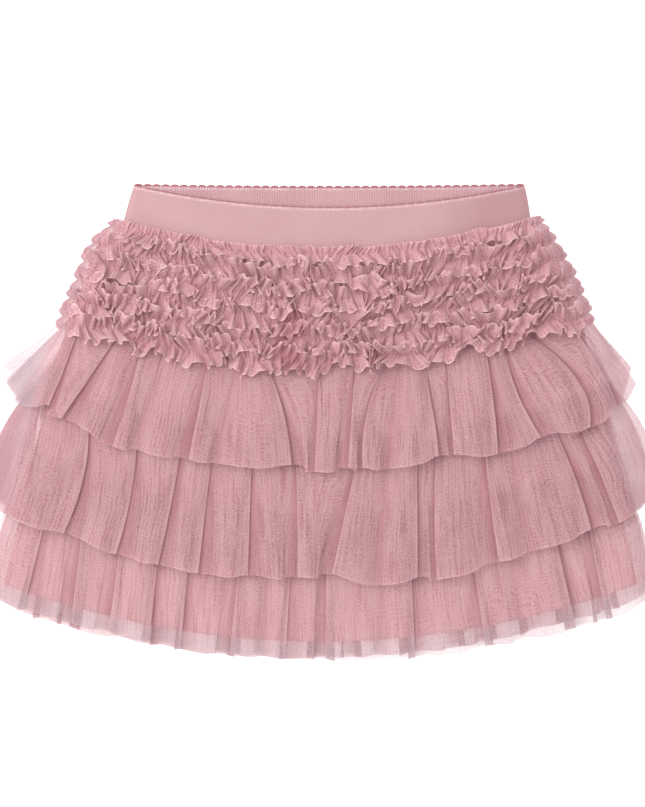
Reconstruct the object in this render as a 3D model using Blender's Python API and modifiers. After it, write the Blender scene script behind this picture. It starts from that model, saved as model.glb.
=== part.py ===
"""A toddler's tiered tulle skirt, laid flat on its back.

X runs across the skirt, Y from the hem up to the waist and Z up from the surface it lies on.
The origin is the middle of its footprint. Tables and sizes are in millimetres; MM turns them
into metres. Every piece of cloth is a grid that a place() function bends into its form, and
a Solidify modifier gives it its wall.
"""
import math
import random

import bmesh
import bpy

MM = 0.001
OBJECT_NAME = "tulle_skirt"

# ---------------------------------------------------------------- driving sizes, millimetres
CLOTH_WALL = 1.0
BAND_WALL = 1.2
SEAM_GAP = 0.3
LAYER = CLOTH_WALL + SEAM_GAP        # from one flat layer's middle to the next one's
ARC = 0.0013                         # every seam line rises by ARC * x * x towards the sides

BACK_FLOOR = CLOTH_WALL / 2          # middle of the wall of a piece that lies on the surface
BASE_BACK_YOKE = BACK_FLOOR + LAYER
BASE_BACK_SKIRT = BASE_BACK_YOKE + LAYER
BASE_FRONT_YOKE = BASE_BACK_YOKE + LAYER
BASE_FRONT_SKIRT = BASE_BACK_SKIRT + LAYER
TIER_FLOOR = BASE_FRONT_SKIRT + LAYER
RUFFLE_ROOT = BASE_FRONT_YOKE + LAYER

BAND_SEAM_Y = 91.0                   # lower edge of the waistband on the centre line
BAND_FRONT_DIP_Y = 111.8             # lowest point of the front's top edge
BAND_FRONT_ARC = 0.0011
BAND_BACK_TOP_Y = 122.4
BAND_BACK_ARC = 0.0001
BAND_TOP_LEFT, BAND_TOP_RIGHT = -97.5, 106.5
BAND_SEAM_LEFT, BAND_SEAM_RIGHT = -103.0, 109.5
BAND_CENTRE_X = 4.5

BASE_HEM_ARC = 0.0011

RUFFLE_ROWS = 6
RUFFLE_WAVES = 22                    # on each front row
RUFFLE_FIRST_Y = 88.0                # root line of the top row, on the centre line
RUFFLE_PITCH_Y = 10.7
RUFFLE_LEAN = 5.6                    # how far the free edge leans towards the hem
RUFFLE_HEIGHT = 8.5
RUFFLE_SWING = 5.2                  # how far a wave swings up and down the skirt
RUFFLE_CURL = 1.6                    # how far its crests curl along the row
RUFFLE_BACK_WIDTH = 5.5
RUFFLE_SIDE_REACH = 5.0              # how far the ends stand out past the base skirt

SIDE_DROP_WIDTH = 12.0               # a tier sinks over this width past the base skirt's side
FOLD_TUCK = 3.2                      # how far a fold turns back under itself at the hem
FOLD_SPREAD = 1.0                    # how far apart the same two lines start at the seam
FOLD_START = 1.2                     # how high the folds stand at the gathering seam

# Half widths of the base skirt on seam lines named by their height on the centre line.
# (centre_y, left, right)
BASE_SIDES = [
    (91.0, -103.0, 109.5),
    (73.0, -117.0, 119.5),
    (55.0, -123.0, 128.0),
    (33.0, -131.0, 136.0),
    (-1.0, -140.0, 142.0),
    (-114.5, -165.0, 165.0),
]

# Seam lines across which the base skirt bends, named by their height on the centre line. It
# steps up onto the tiers' level between the two lines under the last ruffle.
BASE_LINES = [91.0, 73.0, 55.0, 33.0, 25.0, -1.0, -36.0, -76.0, -114.5]
BASE_STEP = (33.0, 25.0)

# The tiers: seam and hem on the centre line, the hem's arc, how high the folds stand at the
# hem, how high the side flaps lie, and how far the hem sags where nothing is under it.
TIERS = {
    "tier_1": {"seam_y": 28.0, "hem_y": -25.0, "hem_arc": 0.0013, "rise": 7.0, "flap": 5.7,
               "sag": 0.0},
    "tier_2": {"seam_y": -11.0, "hem_y": -83.0, "hem_arc": 0.00128, "rise": 7.0, "flap": 4.4,
               "sag": 0.0},
    "tier_3": {"seam_y": -50.0, "hem_y": -123.3, "hem_arc": 0.00107, "rise": 6.0, "flap": 3.1,
               "sag": 2.4},
}

# Fold lines of the front tiers from the left side to the right.
# (seam_x, hem_x, hem_lift, lip, rise) with hem_lift raising the hem above its arc there.
# lip: R, the cloth left of the line lies on top; L, the cloth right of it does; S, a soft
# dip; E, the side edge. rise is a share of the tier's own.
FOLDS = {
    "tier_1": [
        (-135.0, -166.7, 18.0, "E", 0.2),
        (-132.5, -158.5, 2.3, "S", 0.5),
        (-126.0, -140.7, 7.6, "R", 0.7),
        (-107.0, -134.0, 3.3, "R", 1.0),
        (-93.0, -108.4, -2.8, "L", 0.8),
        (-82.0, -95.9, -1.5, "S", 0.3),
        (-58.5, -68.9, -0.4, "L", 0.9),
        (-44.5, -53.8, -0.1, "S", 0.2),
        (-27.3, -14.8, 2.4, "R", 1.0),
        (-0.8, -3.4, -1.0, "L", 0.8),
        (17.9, 13.8, 0.8, "L", 0.6),
        (32.5, 21.6, 0.5, "L", 0.9),
        (41.0, 35.1, -1.0, "S", 0.5),
        (53.3, 61.6, 2.4, "R", 1.0),
        (65.3, 68.9, 1.7, "L", 0.8),
        (86.0, 92.3, -2.6, "R", 0.8),
        (95.9, 114.7, 0.1, "R", 1.0),
        (113.0, 140.1, -3.2, "R", 0.8),
        (132.0, 154.7, 2.7, "R", 0.8),
        (141.0, 164.6, 9.5, "E", 0.2),
    ],
    "tier_2": [
        (-151.0, -173.5, 5.2, "E", 0.2),
        (-147.0, -166.7, 0.6, "S", 0.4),
        (-121.5, -132.9, 2.7, "R", 1.0),
        (-95.5, -105.8, 0.0, "R", 0.8),
        (-71.5, -84.0, 0.0, "R", 0.9),
        (-55.4, -63.2, -0.6, "R", 0.7),
        (-35.6, -37.4, 1.6, "R", 0.8),
        (-13.3, -12.2, 2.2, "L", 1.0),
        (19.0, 5.5, 3.9, "L", 0.8),
        (34.6, 30.4, -2.9, "S", 0.3),
        (50.2, 50.7, -0.9, "R", 1.0),
        (61.0, 60.0, -3.5, "L", 0.7),
        (84.5, 92.3, -0.4, "L", 0.9),
        (96.0, 108.9, 0.7, "S", 0.4),
        (117.0, 140.7, 2.0, "R", 1.0),
        (127.5, 154.5, 0.0, "L", 0.8),
        (151.0, 173.5, 7.0, "E", 0.2),
    ],
    "tier_3": [
        (-150.0, -171.0, 1.6, "E", 0.2),
        (-137.0, -154.2, 0.1, "R", 0.8),
        (-121.0, -130.3, 0.6, "L", 0.9),
        (-101.0, -110.5, 1.0, "L", 0.8),
        (-82.0, -88.7, 0.5, "R", 0.9),
        (-66.0, -72.5, -0.4, "R", 0.7),
        (-40.0, -47.6, 0.2, "L", 0.9),
        (-26.0, -29.4, 0.2, "S", 0.4),
        (-14.0, -17.9, -0.3, "R", 0.8),
        (3.0, 2.5, 0.0, "L", 0.9),
        (31.0, 33.5, -0.6, "S", 0.3),
        (46.0, 49.7, -1.6, "R", 0.8),
        (75.0, 85.5, -0.5, "L", 0.8),
        (95.0, 105.8, 0.0, "S", 0.4),
        (116.0, 133.4, -1.8, "R", 1.0),
        (134.0, 148.5, -1.5, "L", 0.6),
        (150.0, 171.0, 1.4, "E", 0.2),
    ],
}

# Rows of points down a tier, as shares of the way from seam to hem; the last lies at the
# base skirt's hem.
TIER_ROWS = [0.0, 0.12, 0.3, 0.5, 0.7, 0.91, 1.0]
BACK_TIER_ROWS = 12
COLOURS = {
    "band": (0.62, 0.36, 0.39),
    "knit": (0.60, 0.32, 0.35),
    "tulle": (0.56, 0.30, 0.34),
}


# ---------------------------------------------------------------- small helpers
def smooth_step(value, start, end):
    """0 before start, 1 after end, and an easy curve between."""
    share = min(max((value - start) / (end - start), 0.0), 1.0)
    return share * share * (3.0 - 2.0 * share)


def blend(first, second, share):
    return first + (second - first) * share


def line_y(centre_y, x, arc=ARC):
    """Height of a seam line at x, from its height on the centre line."""
    return centre_y + arc * x * x


def base_side(centre_y, column):
    """Side of the base skirt on a seam line; column is 1 for the left and 2 for the right."""
    for upper, lower in zip(BASE_SIDES, BASE_SIDES[1:]):
        if centre_y >= lower[0]:
            break
    share = min(max((upper[0] - centre_y) / (upper[0] - lower[0]), 0.0), 1.0)
    return blend(upper[column], lower[column], share)


def past_side(x, y):
    """How far a point lies outside the base skirt; negative inside."""
    centre_y = y - ARC * x * x
    if x < 0:
        return base_side(centre_y, 1) - x
    return x - base_side(centre_y, 2)


def cloth_material(name, colour, roughness):
    material = bpy.data.materials.new(name)
    material.use_nodes = True
    shader = material.node_tree.nodes["Principled BSDF"]
    shader.inputs["Base Color"].default_value = (*colour, 1.0)
    shader.inputs["Roughness"].default_value = roughness
    shader.inputs["Metallic"].default_value = 0.0
    return material


def cloth_piece(name, columns, rows, place, material, wall=CLOTH_WALL):
    """A grid of columns by rows, each point moved to place(column, row_share), made a wall.

    row_share runs from 0 along the piece's upper edge to 1 along its lower edge.
    """
    shape = bmesh.new()
    bmesh.ops.create_grid(shape, x_segments=columns, y_segments=rows, size=0.5)
    for vertex in shape.verts:
        column = round((vertex.co.x + 0.5) * columns)
        row_share = 0.5 - vertex.co.y
        x, y, z = place(column, row_share)
        vertex.co = (x * MM, y * MM, z * MM)
    mesh = bpy.data.meshes.new(name)
    shape.to_mesh(mesh)
    shape.free()
    mesh.materials.append(material)
    piece = bpy.data.objects.new(name, mesh)
    thickness = piece.modifiers.new("wall", "SOLIDIFY")
    thickness.thickness = wall * MM
    thickness.offset = 0.0
    bpy.data.collections[OBJECT_NAME].objects.link(piece)
    return piece


# ---------------------------------------------------------------- waistband and base skirt
def make_waistband(material):
    columns = 28

    def half(top_y, top_arc, height):
        def place(column, down):
            across = column / columns
            left = blend(BAND_TOP_LEFT, BAND_SEAM_LEFT, down)
            right = blend(BAND_TOP_RIGHT, BAND_SEAM_RIGHT, down)
            x = blend(left, right, across)
            top = top_y + top_arc * (x - BAND_CENTRE_X) ** 2
            y = blend(top, line_y(BAND_SEAM_Y + SEAM_GAP, x), down)
            return x, y, height
        return place

    back_z = BAND_WALL / 2
    front_z = back_z + BAND_WALL + SEAM_GAP
    back = half(BAND_BACK_TOP_Y, BAND_BACK_ARC, back_z)
    front = half(BAND_FRONT_DIP_Y, BAND_FRONT_ARC, front_z)
    cloth_piece("waistband_back", columns, 2, back, material, BAND_WALL)
    cloth_piece("waistband_front", columns, 2, front, material, BAND_WALL)


def make_base_skirt(material):
    columns = 14
    rows = len(BASE_LINES) - 1

    def half(yoke_z, skirt_z):
        def place(column, down):
            centre_y = BASE_LINES[round(down * rows)]
            x = blend(base_side(centre_y, 1), base_side(centre_y, 2), column / columns)
            y = line_y(centre_y, x, blend(ARC, BASE_HEM_ARC, down))
            on_tiers = smooth_step(-centre_y, -BASE_STEP[0], -BASE_STEP[1])
            return x, y, blend(yoke_z, skirt_z, on_tiers)
        return place

    cloth_piece("base_back", columns, rows, half(BASE_BACK_YOKE, BASE_BACK_SKIRT), material)
    cloth_piece("base_front", columns, rows, half(BASE_FRONT_YOKE, BASE_FRONT_SKIRT), material)


# ---------------------------------------------------------------- ruffle rows of the yoke
def make_ruffle_rows(material):
    steps_in_a_wave = 5
    columns = RUFFLE_WAVES * steps_in_a_wave
    back_columns = 16

    for row in range(RUFFLE_ROWS):
        root_y = RUFFLE_FIRST_Y - row * RUFFLE_PITCH_Y
        left, right = base_side(root_y, 1), base_side(root_y, 2)
        dice = random.Random(20 + row)
        wave_size = [dice.uniform(0.65, 1.0) for _ in range(RUFFLE_WAVES + 1)]
        wave_width = [dice.uniform(0.75, 1.25) for _ in range(RUFFLE_WAVES)] + [0.0]
        wave_start = [sum(wave_width[:wave]) / sum(wave_width) for wave in range(RUFFLE_WAVES + 1)]
        first_turn = math.pi * row

        def place_front(column, down):
            wave, step = divmod(column, steps_in_a_wave)
            along = step / steps_in_a_wave
            turn = first_turn + math.tau * along
            size = blend(wave_size[wave], wave_size[min(wave + 1, RUFFLE_WAVES)], along)
            next_start = wave_start[min(wave + 1, RUFFLE_WAVES)]
            across = blend(wave_start[wave], next_start, along)
            middle = smooth_step(0.5 - abs(across - 0.5), 0.0, 0.035)
            outward = math.copysign(1.0 - middle, across - 0.5)
            root_x = blend(left + 1.0, right - 1.0, across)
            swing = math.sin(turn) * RUFFLE_SWING * size * down
            lean = RUFFLE_LEAN * middle * down ** 1.6
            x = root_x + down * (outward * RUFFLE_SIDE_REACH + RUFFLE_CURL * math.sin(2.0 * turn))
            y = line_y(root_y, root_x) + swing - lean
            z = RUFFLE_ROOT + RUFFLE_HEIGHT * size * blend(0.2, 1.0, middle) * down ** 0.75
            return x, y, z

        def place_back(column, down):
            x = blend(left - RUFFLE_SIDE_REACH + 1.0, right + RUFFLE_SIDE_REACH - 1.0,
                      column / back_columns)
            return x, line_y(root_y, x) - down * RUFFLE_BACK_WIDTH, BACK_FLOOR

        cloth_piece(f"ruffle_front_{row + 1}", columns, 2, place_front, material)
        cloth_piece(f"ruffle_back_{row + 1}", back_columns, 1, place_back, material)


# ---------------------------------------------------------------- tiers
def fold_height(tier, down):
    """How high the tallest folds of a tier stand, from its seam (0) to its hem (1)."""
    return blend(FOLD_START, TIERS[tier]["rise"], down)


def down_a_tier(tier, x, y):
    """Where a point lies between a tier's seam and hem; negative above the seam."""
    sizes = TIERS[tier]
    seam = line_y(sizes["seam_y"], x)
    hem = line_y(sizes["hem_y"], x, sizes["hem_arc"])
    return (seam - y) / (seam - hem)


def over_next_tier(tier, x, y):
    """Height that a tier is lifted by the folds of the tier it laps over."""
    down = down_a_tier(tier, x, y)
    on_top = smooth_step(down, -0.13, -0.02)
    return on_top * (LAYER + SEAM_GAP + fold_height(tier, max(down, 0.0)))


def tier_lines(tier):
    """Lines down a front tier from side to side: (seam_x, hem_x, hem_lift, height_share).

    Each fold with a lip has two lines, its lip and its foot, and each panel between folds
    has one more along its middle.
    """
    lines = []
    folds = FOLDS[tier]
    for index, (seam_x, hem_x, hem_lift, lip, rise) in enumerate(folds):
        if lines:
            before = folds[index - 1]
            lines.append((
                (before[0] + seam_x) / 2,
                (before[1] + hem_x) / 2,
                (before[2] + hem_lift) / 2,
                0.45 * max(before[4], rise),
            ))
        lip_line = (seam_x, hem_x, hem_lift, rise)
        if lip == "R":
            foot = (seam_x + FOLD_SPREAD, hem_x - FOLD_TUCK, hem_lift, 0.0)
            lines += [lip_line, foot]
        elif lip == "L":
            foot = (seam_x - FOLD_SPREAD, hem_x + FOLD_TUCK, hem_lift, 0.0)
            lines += [foot, lip_line]
        elif lip == "S":
            lines.append((seam_x, hem_x, hem_lift, 0.0))
        else:
            lines.append(lip_line)
    return lines


def make_front_tier(tier, next_tier, material):
    sizes = TIERS[tier]
    lines = tier_lines(tier)
    rows = len(TIER_ROWS) - 1

    def place(column, row_share):
        down = TIER_ROWS[round(row_share * rows)]
        seam_x, hem_x, hem_lift, share = lines[column]
        seam_y = line_y(sizes["seam_y"], seam_x)
        hem_y = line_y(sizes["hem_y"], hem_x, sizes["hem_arc"]) + hem_lift
        x = blend(seam_x, hem_x, down)
        y = blend(seam_y, hem_y, down)
        floor = TIER_FLOOR
        if next_tier:
            floor += over_next_tier(next_tier, x, y)
        flap = sizes["flap"]
        if tier == "tier_1":
            flap = blend(flap, BACK_FLOOR + LAYER, smooth_step(y, 22.0, 32.0))
        sink = smooth_step(past_side(x, y), 0.0, SIDE_DROP_WIDTH)
        z = blend(floor + share * fold_height(tier, down), flap, sink)
        if down > TIER_ROWS[-2]:
            z -= sizes["sag"] * (1.0 - sink)
        return x, y, z

    cloth_piece(f"{tier}_front", len(lines) - 1, rows, place, material)


def make_back_tier(tier, upper_tier, material):
    """The tier under the skirt, pressed flat; it laps over the hem of the tier above it."""
    sizes = TIERS[tier]
    folds = FOLDS[tier]

    def place(column, down):
        seam_x, hem_x, hem_lift = folds[column][:3]
        seam_y = line_y(sizes["seam_y"], seam_x)
        hem_y = line_y(sizes["hem_y"], hem_x, sizes["hem_arc"]) + hem_lift + 0.5
        x = blend(seam_x, hem_x * 0.99, down)
        y = blend(seam_y, hem_y, down)
        z = BACK_FLOOR
        if upper_tier:
            z += LAYER * smooth_step(-down_a_tier(upper_tier, x, y), -1.16, -1.06)
        return x, y, z

    cloth_piece(f"{tier}_back", len(folds) - 1, BACK_TIER_ROWS, place, material)


# ---------------------------------------------------------------- the skirt
def clear_scene():
    for item in list(bpy.data.objects):
        bpy.data.objects.remove(item, do_unlink=True)


def make_skirt():
    clear_scene()
    collection = bpy.data.collections.new(OBJECT_NAME)
    bpy.context.scene.collection.children.link(collection)
    band = cloth_material("band_elastic", COLOURS["band"], 0.85)
    knit = cloth_material("base_knit", COLOURS["knit"], 0.9)
    tulle = cloth_material("tulle", COLOURS["tulle"], 0.8)
    make_waistband(band)
    make_base_skirt(knit)
    make_ruffle_rows(tulle)
    make_front_tier("tier_3", None, tulle)
    make_front_tier("tier_2", "tier_3", tulle)
    make_front_tier("tier_1", "tier_2", tulle)
    make_back_tier("tier_1", None, tulle)
    make_back_tier("tier_2", "tier_1", tulle)
    make_back_tier("tier_3", "tier_2", tulle)


make_skirt()
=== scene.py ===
# %% [markdown]
# # A toddler's tiered tulle skirt, laid flat
# A pull-on skirt: a wide picot elastic, a knit base skirt under it, six gathered tulle ruffles
# on the yoke and three gathered tulle tiers below them. It lies on its back on a white table
# and is seen from straight above.
#
# X runs across the skirt, Y from the hem up to the waist and Z up from the table. Tables and
# sizes are in millimetres, and MM turns them into metres.

# %% Setup
import math

import bpy
import numpy as np
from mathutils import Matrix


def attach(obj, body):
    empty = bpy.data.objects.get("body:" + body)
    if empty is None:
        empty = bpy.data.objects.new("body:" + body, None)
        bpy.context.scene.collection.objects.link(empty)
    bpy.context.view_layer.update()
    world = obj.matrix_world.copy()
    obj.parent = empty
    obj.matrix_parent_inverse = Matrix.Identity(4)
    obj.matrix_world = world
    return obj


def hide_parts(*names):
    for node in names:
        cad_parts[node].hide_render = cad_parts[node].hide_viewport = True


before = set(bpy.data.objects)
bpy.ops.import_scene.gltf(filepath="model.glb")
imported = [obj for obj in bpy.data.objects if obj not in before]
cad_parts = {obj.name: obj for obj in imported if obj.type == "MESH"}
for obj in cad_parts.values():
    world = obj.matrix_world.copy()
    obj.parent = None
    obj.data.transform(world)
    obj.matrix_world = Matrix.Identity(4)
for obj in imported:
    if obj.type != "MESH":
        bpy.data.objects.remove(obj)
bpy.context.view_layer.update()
MM = 0.001

# %% [markdown]
# ## Small helpers
# Cloth is drawn as a grid: rows run down the piece and columns along it. Uneven handwork needs
# uneven numbers, so wander() gives a smooth random line with about one bump in each pitch, and
# smoothed() rounds the corners of a line of points, as cloth rounds a fold. grid() stacks rows
# and columns of numbers into one grid of points.

# %% Helpers
def smooth_step(value, start, end):
    share = np.clip((value - start) / (end - start), 0.0, 1.0)
    return share * share * (3.0 - 2.0 * share)


def blend(first, second, share):
    return first + (second - first) * share


def wander(place, pitch, seed):
    knots = np.random.default_rng(seed).uniform(-1.0, 1.0, 1024)
    steps = np.asarray(place, float) / pitch + 512.0
    low = np.floor(steps).astype(int)
    share = smooth_step(steps - low, 0.0, 1.0)
    return blend(knots[low % 1024], knots[(low + 1) % 1024], share)


def smoothed(stations, rounds=2):
    line = np.asarray(stations, float)
    for _ in range(rounds):
        first, second = line[:-1], line[1:]
        cut = np.empty((2 * len(first), line.shape[1]))
        cut[0::2] = 0.75 * first + 0.25 * second
        cut[1::2] = 0.25 * first + 0.75 * second
        line = np.vstack([line[:1], cut, line[-1:]])
    return line


def grid(*parts):
    return np.stack(np.broadcast_arrays(*parts), axis=-1)


# %% [markdown]
# ## From a grid to a piece of cloth
# Each piece keeps three things for its finish. "grain" is its own flat coordinates in metres,
# along and down the cut, so that threads follow the cloth. "edge" is 1 at a raw cut edge and
# part of that at a light lip, where the net is denser and painted lighter, a painted highlight,
# and it goes down to -1 in a deep crease, where it is painted darker, a painted shade. "bare"
# marks net with only the table behind it, which looks greyer; on the elastic it marks the pale
# stitches under the picots.
# Tulle is so thin that one surface is enough. Knit gets a real thickness.

# %% Cloth helper
def add_piece(name, mesh, smooth_faces, finish):
    mesh.polygons.foreach_set("use_smooth", np.ones(smooth_faces, bool))
    mesh.materials.append(finish)
    piece = bpy.data.objects.new(name, mesh)
    bpy.context.scene.collection.objects.link(piece)
    return piece


def cloth_sheet(name, points, grain, finish, edge=0.0, bare=0.0, wall=0.0):
    rows, columns = points.shape[:2]
    corner = np.arange((rows - 1) * columns).reshape(rows - 1, columns)[:, :-1]
    faces = np.stack([corner, corner + columns, corner + columns + 1, corner + 1], axis=-1)
    faces = faces.reshape(-1, 4)
    mesh = bpy.data.meshes.new(name)
    mesh.from_pydata((points.reshape(-1, 3) * MM).tolist(), [], faces.tolist())
    layer = mesh.uv_layers.new(name="grain")
    layer.data.foreach_set("uv", (grain.reshape(-1, 2) * MM)[faces.ravel()].ravel())
    for key, share in (("edge", edge), ("bare", bare)):
        shares = mesh.attributes.new(key, "FLOAT", "POINT")
        shares.data.foreach_set("value", np.broadcast_to(share, (rows, columns)).ravel())
    piece = add_piece(name, mesh, len(faces), finish)
    if wall:
        thickness = piece.modifiers.new("thickness", "SOLIDIFY")
        thickness.thickness = wall * MM
        thickness.offset = 0.0
    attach(piece, "root")
    return piece


def cloth_area(points):
    """Area of a grid in square metres."""
    down, along = np.diff(points, axis=0), np.diff(points, axis=1)
    cross = np.cross(down[:, :-1], along[:-1])
    return float(np.linalg.norm(cross, axis=-1).sum()) * MM * MM


# %% [markdown]
# ## Finishes
# The skirt is one dusty rose in three cloths. A few helpers keep the node trees short.
# The tulle is a net: more hole than thread. Its cover comes from three sets of fine threads
# drawn in the grain coordinates and bent a little by noise, so where two layers cross they beat
# against each other as real tulle does. Net lying on net looks watered, so some patches carry
# wavy rings and the rest upright threads. Raw edges and deep creases cover more. Raw edges and
# light lips are also painted lighter, a painted highlight, and creases, the gaps between gathers
# and the net past the sides are painted darker, a painted shade.

# %% Node helpers
def new_finish(name):
    finish = bpy.data.materials.new(name)
    finish.use_nodes = True
    return finish, finish.node_tree, finish.node_tree.nodes["Principled BSDF"]


def feed(tree, socket, value):
    if isinstance(value, bpy.types.NodeSocket):
        tree.links.new(value, socket)
    else:
        socket.default_value = value


def add_node(tree, kind, settings=None, **inputs):
    node = tree.nodes.new(kind)
    for key, value in (settings or {}).items():
        setattr(node, key, value)
    for key, value in inputs.items():
        feed(tree, node.inputs[key.replace("_", " ")], value)
    return node


def calc(tree, operation, *values):
    node = tree.nodes.new("ShaderNodeMath")
    node.operation = operation
    for socket, value in zip(node.inputs, values):
        feed(tree, socket, value)
    return node.outputs[0]


def clamped(tree, value, low=0.0, high=1.0):
    return calc(tree, "MINIMUM", calc(tree, "MAXIMUM", value, low), high)


def ramp(tree, value, start, length):
    """0 up to the start, then rising to 1 over the length."""
    return clamped(tree, calc(tree, "DIVIDE", calc(tree, "SUBTRACT", value, start), length))


def mix_colours(tree, first, second, share):
    node = tree.nodes.new("ShaderNodeMix")
    node.data_type = "RGBA"
    feed(tree, node.inputs[0], share)
    for socket, colour in ((node.inputs[6], first), (node.inputs[7], second)):
        feed(tree, socket, (*colour, 1.0) if isinstance(colour, tuple) else colour)
    return node.outputs[2]


def mark_of(tree, name):
    """The share that cloth_sheet() keeps at each point under this name."""
    return add_node(tree, "ShaderNodeAttribute", {"attribute_name": name}).outputs["Fac"]


def threads(tree, place, pitch, drift):
    """0 to 1 across one thread and the gap beside it; pitch in metres."""
    moved = calc(tree, "ADD", place, drift)
    wave = calc(tree, "SINE", calc(tree, "MULTIPLY", moved, math.tau / pitch))
    return calc(tree, "MULTIPLY_ADD", wave, 0.5, 0.5)


def grain_of(tree):
    grain = add_node(tree, "ShaderNodeUVMap", {"uv_map": "grain"}).outputs[0]
    parts = add_node(tree, "ShaderNodeSeparateXYZ", Vector=grain)
    return grain, parts.outputs[0], parts.outputs[1]


def noise(tree, place, scale, detail=2.0, stretch=None):
    if stretch:
        place = add_node(tree, "ShaderNodeMapping", Vector=place, Scale=stretch).outputs[0]
    return add_node(tree, "ShaderNodeTexNoise", Vector=place, Scale=scale, Detail=detail).outputs[0]


def soft_gloss(shader, roughness, sheen):
    shader.inputs["Roughness"].default_value = roughness
    shader.inputs["Specular IOR Level"].default_value = 0.25
    shader.inputs["Sheen Weight"].default_value = sheen
    shader.inputs["Sheen Roughness"].default_value = 0.5


# %% Tulle
ROSE = (0.622, 0.366, 0.388)
RUFFLE_ROSE = (0.68, 0.40, 0.42)
ROSE_DEEP = (0.41, 0.18, 0.205)
# painted light: a painted highlight for raw edges and light lips, then a painted shade for creases
ROSE_PAINTED_HIGHLIGHT = (0.74, 0.51, 0.54)
ROSE_PAINTED_SHADE = (0.38, 0.145, 0.17)
ROSE_BARE = (0.44, 0.37, 0.41)
# pitches in metres: two sets of threads along the cut, one across it, and the watered patterns
THREAD_PITCH, FINE_PITCH, CROSS_PITCH = 0.0012, 0.00083, 0.0015
RING_PITCH, UPRIGHT_PITCH = 0.0016, 0.0019


def tulle_finish(name, rose, cover, thread_share, cross_share, edge_share, edge_highlight):
    finish, tree, shader = new_finish(name)
    grain, across, down = grain_of(tree)
    broad = calc(tree, "MULTIPLY_ADD", noise(tree, grain, 34.0), 0.0080, -0.0040)
    fine = calc(tree, "MULTIPLY_ADD", noise(tree, grain, 150.0, 1.0), 0.0010, -0.0005)
    drift = calc(tree, "ADD", broad, fine)
    lengthwise = calc(tree, "MULTIPLY", threads(tree, across, THREAD_PITCH, drift), 0.6)
    finer = threads(tree, across, FINE_PITCH, broad)
    lengthwise = calc(tree, "MULTIPLY_ADD", finer, 0.5, lengthwise)
    crosswise = threads(tree, down, CROSS_PITCH, drift)
    # the edge mark adds cover, with a painted highlight where positive and a painted shade where
    # negative
    marked = mark_of(tree, "edge")
    edge = calc(tree, "MAXIMUM", marked, 0.0)
    crease_shade = calc(tree, "MAXIMUM", calc(tree, "MULTIPLY", marked, -1.0), 0.0)
    cloudy = calc(tree, "MULTIPLY_ADD", noise(tree, grain, 90.0), 0.24, -0.12)
    grainy = calc(tree, "MULTIPLY_ADD", noise(tree, grain, 1200.0, 1.0), 0.4, -0.2)
    cover = calc(tree, "ADD", calc(tree, "ADD", cloudy, grainy), cover)
    cover = calc(tree, "MULTIPLY_ADD", lengthwise, thread_share, cover)
    cover = calc(tree, "MULTIPLY_ADD", crosswise, cross_share, cover)
    cover = calc(tree, "MULTIPLY_ADD", edge, edge_share, cover)
    cover = calc(tree, "MULTIPLY_ADD", crease_shade, 0.3, cover)
    rings = threads(tree, down, RING_PITCH, calc(tree, "MULTIPLY_ADD", broad, 3.4, fine))
    patches = clamped(tree, calc(tree, "MULTIPLY_ADD", noise(tree, grain, 17.0, 1.0), 6.0, -2.6))
    rings = calc(tree, "MULTIPLY", rings, patches)
    cover = calc(tree, "MULTIPLY_ADD", rings, 0.14, cover)
    tree.links.new(clamped(tree, cover, 0.05, 0.97), shader.inputs["Alpha"])
    streaks = noise(tree, grain, 1.0, 4.0, (520.0, 40.0, 1.0))
    shade = calc(tree, "MULTIPLY_ADD", streaks, 2.9, -1.42)
    shade = calc(tree, "MULTIPLY_ADD", noise(tree, grain, 1100.0, 1.0), 2.2, shade)
    upright = calc(tree, "MULTIPLY", threads(tree, across, UPRIGHT_PITCH, broad), 0.6)
    upright = calc(tree, "MULTIPLY", upright, calc(tree, "SUBTRACT", 1.0, patches))
    shade = calc(tree, "SUBTRACT", shade, upright)
    shade = calc(tree, "SUBTRACT", shade, calc(tree, "MULTIPLY", rings, 0.8))
    colour = mix_colours(tree, ROSE_DEEP, rose, clamped(tree, shade))
    # painted highlight at raw edges and light lips
    colour = mix_colours(tree, colour, ROSE_PAINTED_HIGHLIGHT, calc(tree, "MULTIPLY", edge, edge_highlight))
    colour = mix_colours(tree, colour, ROSE_BARE, mark_of(tree, "bare"))
    # painted shade in creases, between gathers and on the net past the sides
    colour = mix_colours(tree, colour, ROSE_PAINTED_SHADE, crease_shade)
    tree.links.new(colour, shader.inputs["Base Color"])
    soft_gloss(shader, 0.75, 0.25)
    return finish


tulle = tulle_finish("tulle", ROSE, 0.42, 0.13, 0.03, 0.15, 0.6)
ruffle_tulle = tulle_finish("doubled_tulle", RUFFLE_ROSE, 0.64, 0.10, 0.05, 0.20, 0.55)
print("tulle finishes:", tulle.name, ruffle_tulle.name)

# %% [markdown]
# ## Knit finishes
# The base skirt is a fine jersey: small even columns of stitches, seen as a soft bump. The
# elastic is denser and matte, with a fine peppery speckle in its face and a row of pale dashes
# below its picots, where the edge is stitched; towards its right end it is painted darker, a
# painted shade. The base skirt has its own colour at the hem and is painted darker under the
# ruffles and the upper tiers, a painted shade where they cover it.

# %% Knit
PICOT_DEEP = (0.33, 0.125, 0.145)
PICOT_LIGHT = (0.80, 0.62, 0.66)
# painted shade on the yoke, where the ruffles cover it
SHADED_YOKE_ROSE, SHADED_YOKE_DEEP = (0.60, 0.33, 0.36), (0.54, 0.28, 0.31)
# where the painted shade on the base skirt changes and ends, in metres down from the top of its
# panel
YOKE_END, UPPER_TIERS_END = 0.056, 0.158
STITCH_PITCH, STITCH_ROW_PITCH = 0.0014, 0.0012


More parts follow.
